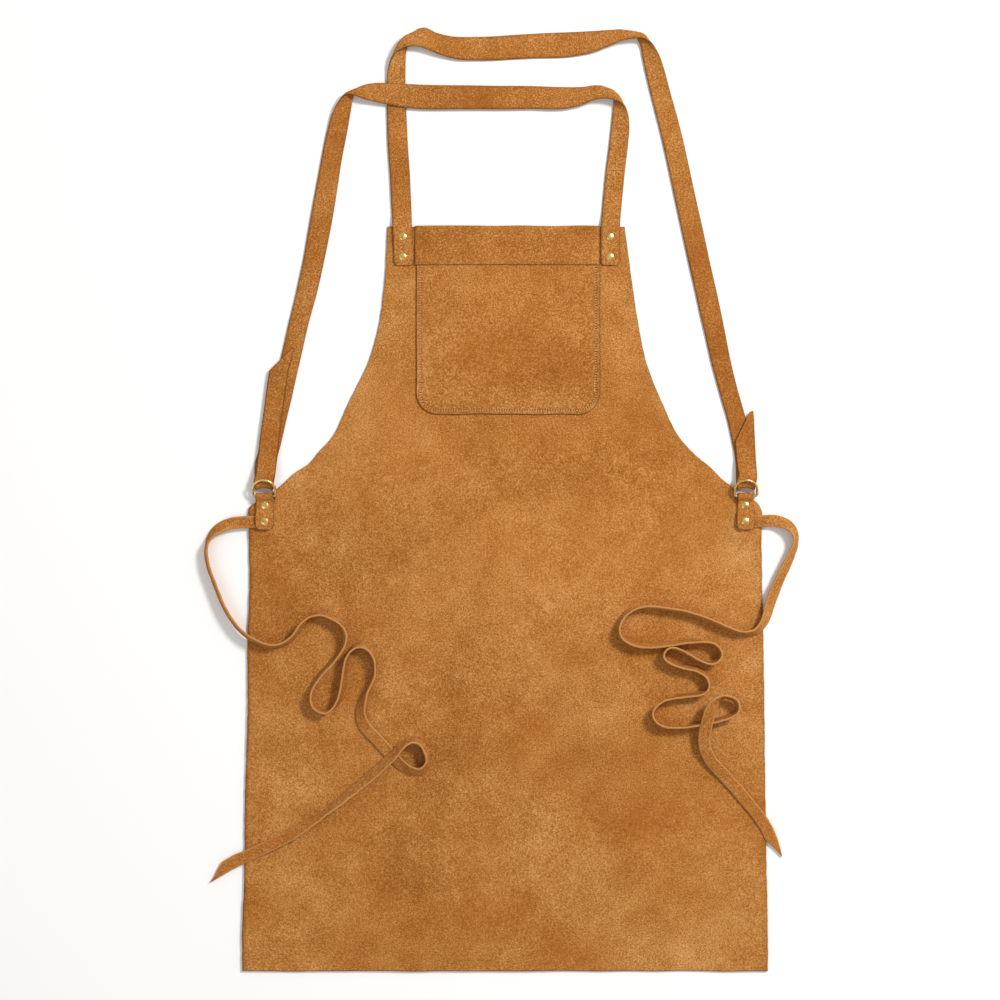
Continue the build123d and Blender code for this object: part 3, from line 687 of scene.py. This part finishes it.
STRAP_FROM_RIGHT_BIB = [
    (131.4, 267.3, ON_BIB, 108.9, 267.3, ON_BIB),
    (131.5, 292.0, ON_BIB, 109.4, 292.0, ON_BIB),
    (131.7, 313.0, ON_BIB, 109.9, 313.0, ON_BIB),
    (132.6, 327.0, ON_FLOOR, 110.9, 327.0, ON_FLOOR),
    (136.3, 366.4, ON_FLOOR, 114.2, 366.4, ON_FLOOR),
    (141.0, 408.0, ON_FLOOR, 119.4, 408.0, ON_FLOOR),
    (142.4, 426.0, 1.8, 121.6, 427.0, ON_FLOOR),
    (141.6, 437.0, 4.2, 122.9, 438.5, 1.2, 0, 0, -0.3),
    (138.4, 446.0, 7.2, 123.9, 448.5, 1.4, 1.2, 0.4, -0.3),
    (131.0, 452.6, 9.8, 123.6, 458.5, 1.8, 4.0, 3.0, 0.2),
    (121.0, 456.2, 10.6, 118.6, 467.0, 2.4, 3.4, 4.0, 1.6),
    (111.5, 456.9, 9.8, 111.4, 471.8, 3.2, 1.0, 2.2, 2.2),
    (102.0, 455.7, 8.6, 102.4, 472.8, 3.9, 0, 0.3, 1.6),
    (89.0, 450.7, 6.6, 88.6, 471.3, 4.1, 0, 0, 0.6),
    (72.1, 446.7, 4.9, 70.0, 471.2, 4.0),
    (30.0, 446.0, OVER, 30.0, 472.2, OVER),
    (-44.7, 445.8, OVER, -44.7, 473.0, OVER),
    (-106.5, 446.7, OVER, -106.5, 474.4, OVER),
    (-132.8, 450.4, 4.6, -134.0, 475.6, 4.2),
    (-149.0, 453.8, 6.6, -151.0, 475.4, 3.8, 0, 0, 0.9),
    (-162.0, 456.8, 8.8, -162.6, 472.6, 3.2, 0, 0.6, 1.6),
    (-172.0, 460.6, 10.0, -169.8, 467.8, 2.4, -1.4, 3.0, 0.8),
    (-180.6, 461.8, 9.2, -173.8, 459.5, 1.7, -2.2, 3.4, 0.2),
    (-189.0, 455.6, 7.0, -175.6, 449.8, 1.3, -1.2, 1.2, -0.2),
    (-197.0, 442.8, 3.8, -177.6, 438.0, ON_FLOOR),
    (-202.9, 424.0, 1.6, -180.4, 421.0, ON_FLOOR),
    (-209.9, 390.4, ON_FLOOR, -186.8, 388.0, ON_FLOOR),
    (-219.8, 337.8, ON_FLOOR, -194.9, 336.0, ON_FLOOR),
    (-234.7, 255.9, ON_FLOOR, -211.2, 253.0, ON_FLOOR),
    (-249.2, 193.5, ON_FLOOR, -226.8, 192.0, ON_FLOOR),
    (-259.0, 151.1, ON_FLOOR, -236.4, 150.0, ON_FLOOR),
    (-267.8, 113.4, ON_FLOOR, -245.2, 112.0, ON_FLOOR),
    (-274.2, 85.9, ON_FLOOR, -251.5, 85.0, ON_FLOOR),
    (-280.4, 60.0, ON_FLOOR, -257.2, 60.0, ON_FLOOR),
    (-286.4, 40.0, ON_FLOOR, -262.4, 40.0, ON_FLOOR),
    (-286.6, 27.0, ON_FLOOR, -264.2, 27.0, ON_FLOOR),
    (-286.2, 16.5, ON_FLOOR, -264.4, 16.5, ON_FLOOR),
]


def make_strap(name, node, stations, material):
    """A strap from the bib to the far side's rings."""
    grid = roughen(strip_grid(stations, 2.4, 9, round_start=4.5), 0.35, 40.0)
    grid[..., 2] = np.maximum(grid[..., 2], ON_FLOOR)
    strap = leather(name, grid, STRAP, material)
    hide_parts(node)
    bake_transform(strap)


TAIL_LIFT = 3.7  # middle of a tail that lies on its own strap
TAILS = {
    "left": [
        (-284.7, 27.5, 9.3, -262.2, 27.5, 9.5), (-283.8, 36.0, 6.9, -261.4, 36.0, 7.2),
        (-282.6, 48.0, 4.3, -260.2, 47.0, 4.3), (-281.6, 59.5, TAIL_LIFT, -259.4, 58.0, TAIL_LIFT),
        (-275.9, 100.8, TAIL_LIFT, -254.6, 98.5, TAIL_LIFT), (-270.2, 143.0, TAIL_LIFT, -248.6, 141.0, TAIL_LIFT),
        (-269.6, 146.5, TAIL_LIFT, -248.2, 144.5, TAIL_LIFT), (-266.2, 150.0, TAIL_LIFT, -247.2, 149.0, TAIL_LIFT),
        (-256.6, 159.6, TAIL_LIFT, -244.4, 160.0, TAIL_LIFT), (-247.6, 168.6, TAIL_LIFT, -241.8, 168.8, TAIL_LIFT),
        (-244.2, 171.8, TAIL_LIFT, -240.8, 171.8, TAIL_LIFT),
    ],
    "right": [
        (266.6, 27.5, 9.5, 287.8, 27.5, 9.3), (265.3, 36.0, 7.2, 287.4, 36.0, 6.9),
        (264.4, 46.0, 4.3, 286.8, 46.0, 4.3), (263.6, 56.0, TAIL_LIFT, 286.3, 57.0, TAIL_LIFT),
        (263.4, 66.5, TAIL_LIFT, 285.7, 70.0, TAIL_LIFT), (266.8, 73.5, TAIL_LIFT, 285.3, 78.0, TAIL_LIFT),
        (272.8, 85.5, TAIL_LIFT, 284.9, 90.0, TAIL_LIFT), (279.8, 99.8, TAIL_LIFT, 283.9, 101.0, TAIL_LIFT),
    ],
}
TURN_Y, TURN_Z, TURN_RADIUS, TURN_WIDTH = 15.65, 5.3, 4.2, 22.0
ARCH_DROOP, ARCH_RISE = 0.9, 3.2  # the fold follows the ring's arc: its ends droop and its middle rises


def make_strap_end(side, material):
    """The turn round the lower ring and the free tail. It swings with the rings."""
    sign = -1 if side == "left" else 1
    inner, outer = sign * (RING_X - TURN_WIDTH / 2), sign * (RING_X + TURN_WIDTH / 2)
    ends = (outer, inner) if side == "left" else (inner, outer)
    stations = []
    for y, z in ((18.5, ON_FLOOR), (17.0, ON_FLOOR)):
        stations.append((ends[0], y, z, ends[1], y, z))
    for angle in range(-90, 91, 20):
        out = TURN_RADIUS * math.cos(math.radians(angle))
        z = TURN_Z + TURN_RADIUS * math.sin(math.radians(angle))
        pinch = 0.9 * math.cos(math.radians(angle)) * sign
        droop = ARCH_DROOP * out / TURN_RADIUS
        first = (ends[0] - pinch * (1 if ends[0] == outer else -1), TURN_Y - out - droop, z)
        second = (ends[1] + pinch * (1 if ends[0] == outer else -1), TURN_Y - out - droop, z)
        stations.append((*first, *second, 0, ARCH_RISE * out / TURN_RADIUS, 0))
    stations += TAILS[side]
    grid = strip_grid(stations, 1.2, 13)
    # The near-black edge colour reaches 0.75 onto the faces, a line of painted shade along the turn's and tail's
    # edges.
    end = leather(f"{side}_strap_turn_and_tail", grid, STRAP - 0.1, material, rim_reach=0.75)
    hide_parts(f"{side}_strap_end")
    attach(end, f"{side}_rings")


# ---------------------------------------------------------------- ring tabs

LOOP = 1.4 + STRAP / 2  # middle of the leather round one bar
ORBIT = LOOP + 2.9  # and round both, so that the upper bar has room to swing


def make_tab(side, material):
    """A strip folded round both bars, riveted through the hide's corner and over the tie."""
    sign = -1 if side == "left" else 1
    path = [(-33.5, 1.15), (-20, 1.15), (-6, 1.1), (BAR_Y - 1.5, 1.1)]
    for angle in (-90, -60, -30, 0):
        turn = math.radians(angle)
        path.append((BAR_Y + LOOP * math.cos(turn), BAR_Z + LOOP * math.sin(turn)))
    for angle in (0, 30, 60, 90):
        turn = math.radians(angle)
        path.append((BAR_Y + LOOP * math.cos(turn), BAR_Z + 2.9 + LOOP * math.sin(turn)))
    for angle in (110, 130, 148):
        turn = math.radians(angle)
        path.append((BAR_Y + ORBIT * math.cos(turn), BAR_Z + ORBIT * math.sin(turn)))
    path += [(-3.6, 5.5), (-6, 5.3), (-11, 5.3), (-15.2, 5.4), (-17.4, 6.6), (-19.6, 7.5), (-26, 7.5), (-34.9, 7.45)]
    top_half, low_half = (10.0, 10.6) if side == "left" else (9.0, 10.4)
    stations = []
    for number, (y, z) in enumerate(path):
        half = low_half + (top_half - low_half) * float(smoothstep(-24, 0, y))
        front = z > 4.5
        curl = -0.35 if front and y < -3 else 0.0
        shift = 0.4 * sign if front else 0.0
        x = sign * TAB_X + shift
        stations.append((x - half, y, z - curl, x + half, y, z - curl, 0, 0, curl))
    grid = strip_grid(stations, 0.9, 13, round_start=5.5, round_end=5.5)
    tab = leather(f"{side}_tab", grid, STRAP - 0.05, material)
    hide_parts(f"{side}_ring_tab")
    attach(tab, "root")


# ---------------------------------------------------------------- waist ties

# Each point is X, Y, the height of the tie's middle above the floor, and its lean: 0 is flat and 90 is on edge.
LEFT_TIE = [
    (-267.5, -26, 5.4, 0), (-285, -26, 5.4, 0), (-300, -26.3, 5.2, -6), (-316, -28, 5.4, -20),
    (-332, -35.5, 6.6, -50), (-342, -51, 7.2, -75), (-341, -72, 7.3, -72), (-332, -97, 7.4, -74),
    (-320, -127, 7.8, -74), (-304, -150, 9.0, -72), (-285, -163, 9.4, -72), (-263, -170, 9.4, -74),
    (-243, -161, 9.4, -74), (-232, -142, 9.4, -72), (-217, -130, 9.4, -103), (-199, -133, 9.4, -105),
    (-183, -148, 9.4, -78), (-182, -166, 9.4, -72), (-196, -185, 9.4, -74), (-214, -204, 9.4, -72),
    (-224, -221, 9.4, -78), (-219, -238, 9.4, -105), (-204, -245, 9.4, -105), (-190, -234, 9.4, -76),
    (-184, -207, 9.4, -72), (-181, -182, 9.4, -76), (-173, -168, 9.4, -107), (-160, -166, 9.4, -111),
    (-147.5, -179, 9.4, -107), (-148, -199, 9.4, -76), (-159, -221, 9.2, -74), (-166, -241, 7.0, -38),
    (-162, -259, 4.6, -12), (-147, -274, 4.0, -5), (-130, -293, 4.0, -8), (-113, -309, 6.4, -40),
    (-96, -313, 8.4, -54), (-86, -299, 9.4, -76), (-93, -279, 9.8, -72), (-107, -274.5, 11.2, -74),
    (-118, -281, 13.2, -62), (-128, -293, 13.0, -50), (-145, -309.5, 9.0, -42), (-171, -331, 8.2, -47),
    (-203, -357.5, 9.0, -66), (-243, -384, 5.6, -26), (-286, -404, 3.6, 0), (-314.5, -416.5, 2.9, 0),
    (-341, -433.2, 1.8, 0),
]
RIGHT_TIE = [
    (267.5, -26, 5.4, 0), (285, -26, 5.4, 0), (309, -24, 5.4, 6), (328, -31, 6.6, 45),
    (334, -47, 7.0, 66), (326, -67, 6.3, 48), (313, -93, 5.7, 34), (303, -118, 6.2, 34), (298, -139, 7.6, 44),
    (286, -153, 9.2, 62), (269, -154, 9.4, 72), (247, -144.5, 9.4, 72), (220, -133.5, 8.8, 68),
    (192, -126.5, 9.2, 76), (164, -122.5, 9.4, 76), (141, -126.5, 9.4, 103), (128, -143, 9.4, 103),
    (134, -161, 9.4, 76), (156, -168.5, 9.4, 72), (187, -166, 9.4, 74), (214, -161.5, 9.4, 78),
    (238, -164.5, 9.4, 105), (248, -177, 9.4, 107), (239, -188.5, 9.4, 103), (221, -186, 9.4, 76),
    (206, -176, 9.4, 74), (188, -168.5, 9.4, 78), (177.5, -178, 9.4, 107), (183, -188, 9.4, 107),
    (203, -192, 9.4, 78), (223, -195, 9.4, 72), (236, -208, 9.4, 74), (229, -222, 9.4, 103),
    (203, -224.5, 9.4, 103), (180, -230.5, 9.4, 76), (167, -245, 9.4, 74), (175, -260, 9.4, 103),
    (195, -263.5, 9.4, 105), (220, -256.5, 9.4, 78), (248, -252, 9.4, 76), (267, -243, 10.0, 78),
    (264, -229, 11.6, 72), (251, -224.5, 13.8, 72), (241, -229.5, 16.0, 52), (233.5, -240, 18.2, 22),
    (229.5, -256, 17.4, 4), (226, -275, 12.8, 0), (232, -296, 7.2, 0), (249, -314, 4.4, 0),
    (271, -338.5, 3.7, 0), (290.5, -362, 3.6, 0), (305, -386, 3.0, 0), (310.5, -411, 1.8, 0),
]
TIE_SPLINE_STEPS = 14
LINE_STEP_MIN = 0.01  # closer points than this are one point
TIP_LENGTH = 24.0


def route_line(name, route):
    """Points along the smooth curve that has the route's points as its control points."""
    data = bpy.data.curves.new(name, "CURVE")
    data.dimensions = "3D"
    data.resolution_u = TIE_SPLINE_STEPS
    spline = data.splines.new("NURBS")
    spline.points.add(len(route) - 1)
    for point, (x, y, z, _) in zip(spline.points, route):
        inside = abs(x) < 292 and y < 0
        point.co = (x * MM, y * MM, (z + (hide_rise(x, y) - tab_rise(x, y) if inside else 0)) * MM, 1)
    spline.order_u = 3
    spline.use_endpoint_u = True
    holder = bpy.data.objects.new(name, data)
    mesh = bpy.data.meshes.new_from_object(holder)
    line = np.array([vertex.co for vertex in mesh.vertices]) / MM
    moved = np.linalg.norm(np.diff(line, axis=0), axis=1) > LINE_STEP_MIN
    line = line[np.concatenate([[True], moved])]
    bpy.data.meshes.remove(mesh)
    bpy.data.objects.remove(holder)
    bpy.data.curves.remove(data)
    return line


def make_tie(side, route, material):
    line = route_line(f"{side}_tie_route", route)
    spans = len(route) - 2
    at = np.linspace(0, spans, len(line))
    marks = [0] + [k + 0.5 for k in range(spans)] + [spans]
    lean = np.radians(np.interp(at, marks, [point[3] for point in route]))
    heading = unit(np.gradient(line, axis=0))
    aside = unit(np.cross(heading, (0, 0, 1)))
    up = np.cross(aside, heading)
    direction = aside * np.cos(lean)[:, None] + up * np.sin(lean)[:, None]
    steps = np.linalg.norm(np.diff(line, axis=0), axis=1)
    from_tip = np.concatenate([np.cumsum(steps[::-1])[::-1], [0]])
    taper = np.clip(from_tip / TIP_LENGTH, 0.04, 1)
    low, high = -TIE_WIDTH / 2 * np.ones(len(line)), TIE_WIDTH / 2 * np.ones(len(line))
    pointed = TIE_WIDTH * (1 - taper)
    high = high - pointed
    across = np.linspace(0, 1, 7)[None, :, None]
    reach = low[:, None, None] * (1 - across) + high[:, None, None] * across
    grid = line[:, None] + direction[:, None] * reach
    grid = roughen(roughen(grid, 0.5, 19.0), 0.35, 5.0)
    tie = leather(f"{side}_tie", grid[:, ::-1], STRAP, material, rim_reach=0.75)
    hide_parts(f"{side}_waist_tie")
    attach(tie, "root")
    length = round(float(steps.sum()) * MM, 3)
    print(side, "tie length", length)


# ---------------------------------------------------------------- making it

def repaint_metal(material):
    """The CAD rings and rivets keep their shape and get the brass."""
    for name, node in frame["nodes"].items():
        if "ring" in name and "tab" not in name or "rivet" in name:
            node.data.materials.clear()
            node.data.materials.append(material)


def main():
    make_camera()
    make_light()
    make_floor()
    body_suede = suede("body_suede", (0.0, 0.0, 0.0), 0.0, 1.0, EDGE_DARK_AND_SHADE)
    pocket_suede = suede("pocket_suede", (2.3, 1.1, 0.4), -0.08, 1.15, POCKET_EDGE_AND_SHADOW)
    facing_suede = suede("facing_suede", (1.3, 2.1, 0.9), -0.12, 1.1, EDGE_FACING)
    strap_suede = suede("strap_suede", (5.2, 3.4, 1.9), -0.06, 1.2, EDGE_DARK_AND_SHADE)
    tie_suede = suede("tie_suede", (7.7, 0.8, 2.6), -0.06, 1.1, EDGE_PALE)
    make_tie("left", LEFT_TIE, tie_suede)
    make_tie("right", RIGHT_TIE, tie_suede)
    make_hide(body_suede)
    seam = make_pocket(pocket_suede)
    make_stitches(seam, sewing_thread())
    make_facing(facing_suede)
    make_strap("strap_a", "shoulder_strap_from_left_bib", STRAP_FROM_LEFT_BIB, strap_suede)
    make_strap("strap_b", "shoulder_strap_from_right_bib", STRAP_FROM_RIGHT_BIB, strap_suede)
    for side in ("left", "right"):
        make_strap_end(side, strap_suede)
        make_tab(side, strap_suede)
    repaint_metal(brass())


main()
